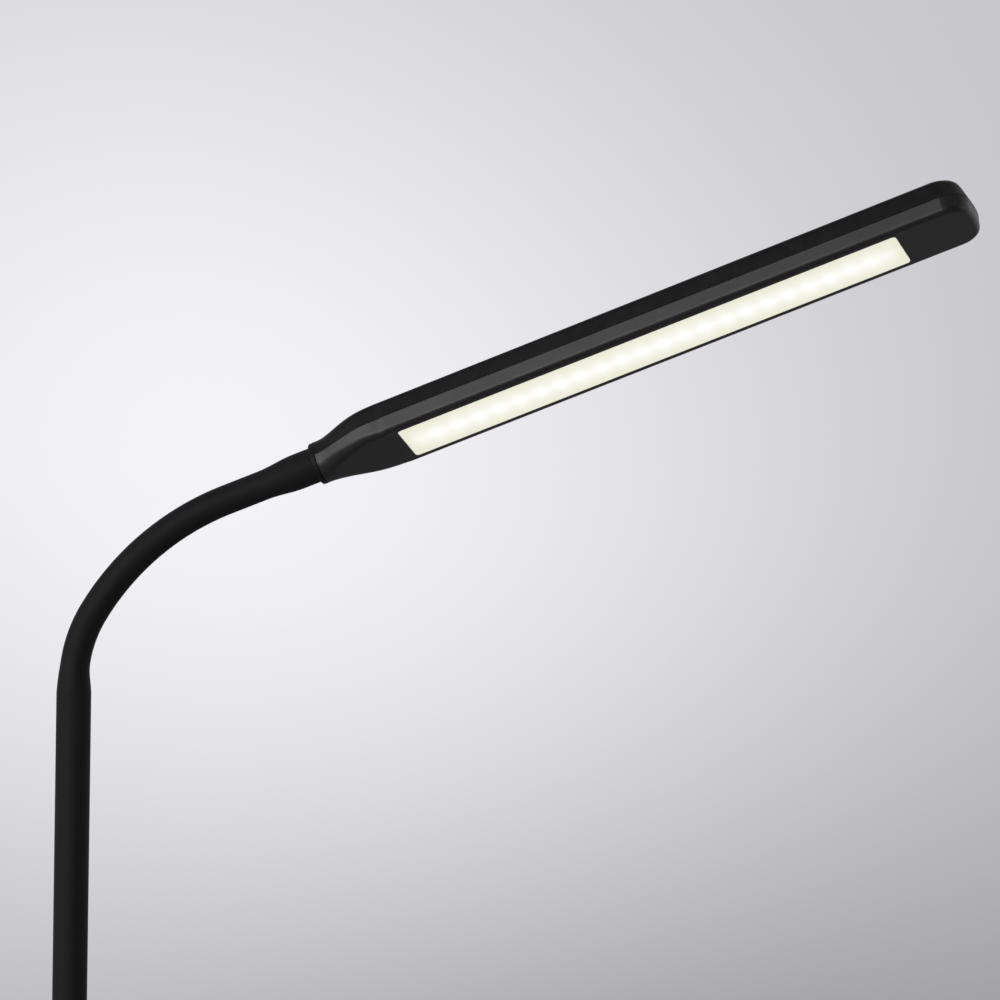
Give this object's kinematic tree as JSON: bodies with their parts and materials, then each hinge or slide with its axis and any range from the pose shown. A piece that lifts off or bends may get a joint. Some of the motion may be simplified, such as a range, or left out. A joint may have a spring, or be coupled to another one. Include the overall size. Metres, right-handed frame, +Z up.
{
  "type": "desk lamp",
  "caption": "Desk lamp with a round weighted base, a straight post, a flexible neck and a long flat LED head that turns on the neck's end.",
  "frame": {"origin": "centre of the base's underside, on the surface that the lamp stands on", "axes": "+Z up along the post, +X from the post out to the head"},
  "size_m": [0.4077, 0.16, 0.5215],
  "materials": {
    "silicone_black": "soft matt",
    "pad_black": "matt",
    "cover_black": "fine matt",
    "shell_black": "satin",
    "lower_black": "half gloss",
    "opal": "opal",
    "reflector_white": "matt",
    "board_white": "white lacquer",
    "led_yellow": "gloss",
    "spreader": "milled",
    "steel": "zinc plated",
    "steel_black": "black lacquer",
    "spring_steel": "bright drawn",
    "iron": "raw",
    "board_green": "solder mask",
    "part_black": "matt",
    "lead_grey": "soft",
    "washer_white": "waxy"
  },
  "bodies": {
    "base": {"antislip_pad": "pad_black", "base_plate": "steel_black", "base_screws": "steel", "base_weight": "iron", "base_cover": "cover_black", "post_trim": "cover_black", "post_tube": "steel_black", "post_screws": "steel", "control_board": "board_green", "board_parts": "part_black", "board_screws": "steel", "tact_switch": "part_black", "dc_jack": "part_black", "jack_lead": "lead_grey", "lead_post": "lead_grey", "lower_ferrule": "steel", "coil_post": "spring_steel", "sleeve_post": "silicone_black"},
    "button": {"power_button": "cover_black", "switch_plunger": "part_black"},
    "neck_1": {"sleeve_1": "silicone_black", "coil_1": "spring_steel", "lead_1": "lead_grey"},
    "neck_2": {"sleeve_2": "silicone_black", "coil_2": "spring_steel", "lead_2": "lead_grey"},
    "neck_3": {"sleeve_3": "silicone_black", "coil_3": "spring_steel", "lead_3": "lead_grey"},
    "neck_4": {"sleeve_4": "silicone_black", "coil_4": "spring_steel", "lead_4": "lead_grey"},
    "neck_5": {"sleeve_5": "silicone_black", "coil_5": "spring_steel", "lead_5": "lead_grey"},
    "neck_6": {"sleeve_6": "silicone_black", "coil_6": "spring_steel", "lead_6": "lead_grey"},
    "neck_7": {"sleeve_7": "silicone_black", "coil_7": "spring_steel", "lead_7": "lead_grey"},
    "neck_8": {"sleeve_8": "silicone_black", "coil_8": "spring_steel", "lead_8": "lead_grey"},
    "neck_end": {"head_ferrule": "steel", "sleeve_head": "silicone_black", "coil_head": "spring_steel", "lead_end": "lead_grey", "retaining_clip": "spring_steel"},
    "head": {"upper_shell": "shell_black", "lower_shell": "lower_black", "diffuser": "opal", "reflector": "reflector_white", "led_board": "board_white", "leds": "led_yellow", "heat_spreader": "spreader", "led_screws": "steel", "swivel_washer": "washer_white", "lead_head": "lead_grey"}
  },
  "joints": [
    {"name": "bend_1", "type": "hinge", "parent": "base", "child": "neck_1", "pos_m": [-0.05, 0, 0.3104], "axis": [0, 1, 0], "range_deg": [-12, 10]},
    {"name": "sway_2", "type": "hinge", "parent": "neck_1", "child": "neck_2", "pos_m": [-0.04798, 0, 0.32522], "axis": [-0.9636, 0, 0.2672], "range_deg": [-11, 11]},
    {"name": "bend_3", "type": "hinge", "parent": "neck_2", "child": "neck_3", "pos_m": [-0.04208, 0, 0.33896], "axis": [0, 1, 0], "range_deg": [-12, 10]},
    {"name": "sway_4", "type": "hinge", "parent": "neck_3", "child": "neck_4", "pos_m": [-0.03354, 0, 0.35128], "axis": [-0.7833, 0, 0.6217], "range_deg": [-11, 11]},
    {"name": "bend_5", "type": "hinge", "parent": "neck_4", "child": "neck_5", "pos_m": [-0.02348, 0, 0.36239], "axis": [0, 1, 0], "range_deg": [-12, 10]},
    {"name": "sway_6", "type": "hinge", "parent": "neck_5", "child": "neck_6", "pos_m": [-0.01207, 0, 0.3721], "axis": [-0.5973, 0, 0.802], "range_deg": [-11, 11]},
    {"name": "bend_7", "type": "hinge", "parent": "neck_6", "child": "neck_7", "pos_m": [0.00051, 0, 0.38026], "axis": [0, 1, 0], "range_deg": [-12, 10]},
    {"name": "sway_8", "type": "hinge", "parent": "neck_7", "child": "neck_8", "pos_m": [0.01404, 0, 0.38672], "axis": [-0.3714, 0, 0.9285], "range_deg": [-11, 11]},
    {"name": "bend_9", "type": "hinge", "parent": "neck_8", "child": "neck_end", "pos_m": [0.02796, 0, 0.39229], "axis": [0, 1, 0], "range_deg": [-12, 10]},
    {"name": "head_swivel", "type": "hinge", "parent": "neck_end", "child": "head", "pos_m": [0.05211, 0, 0.40194], "axis": [0.9285, 0, 0.3714], "range_deg": [-66, 114]},
    {"name": "button_press", "type": "slide", "parent": "base", "child": "button", "axis": [0, 0, -1], "range_m": [0, 0.001], "stiffness_N_per_m": 400, "springref_m": -0.0015}
  ],
  "couplings": [
    {"joint": "bend_3", "follows": "bend_1", "ratio": 1},
    {"joint": "sway_4", "follows": "sway_2", "ratio": 1},
    {"joint": "bend_5", "follows": "bend_1", "ratio": 1},
    {"joint": "sway_6", "follows": "sway_2", "ratio": 1},
    {"joint": "bend_7", "follows": "bend_1", "ratio": 1},
    {"joint": "sway_8", "follows": "sway_2", "ratio": 1},
    {"joint": "bend_9", "follows": "bend_1", "ratio": 1}
  ]
}
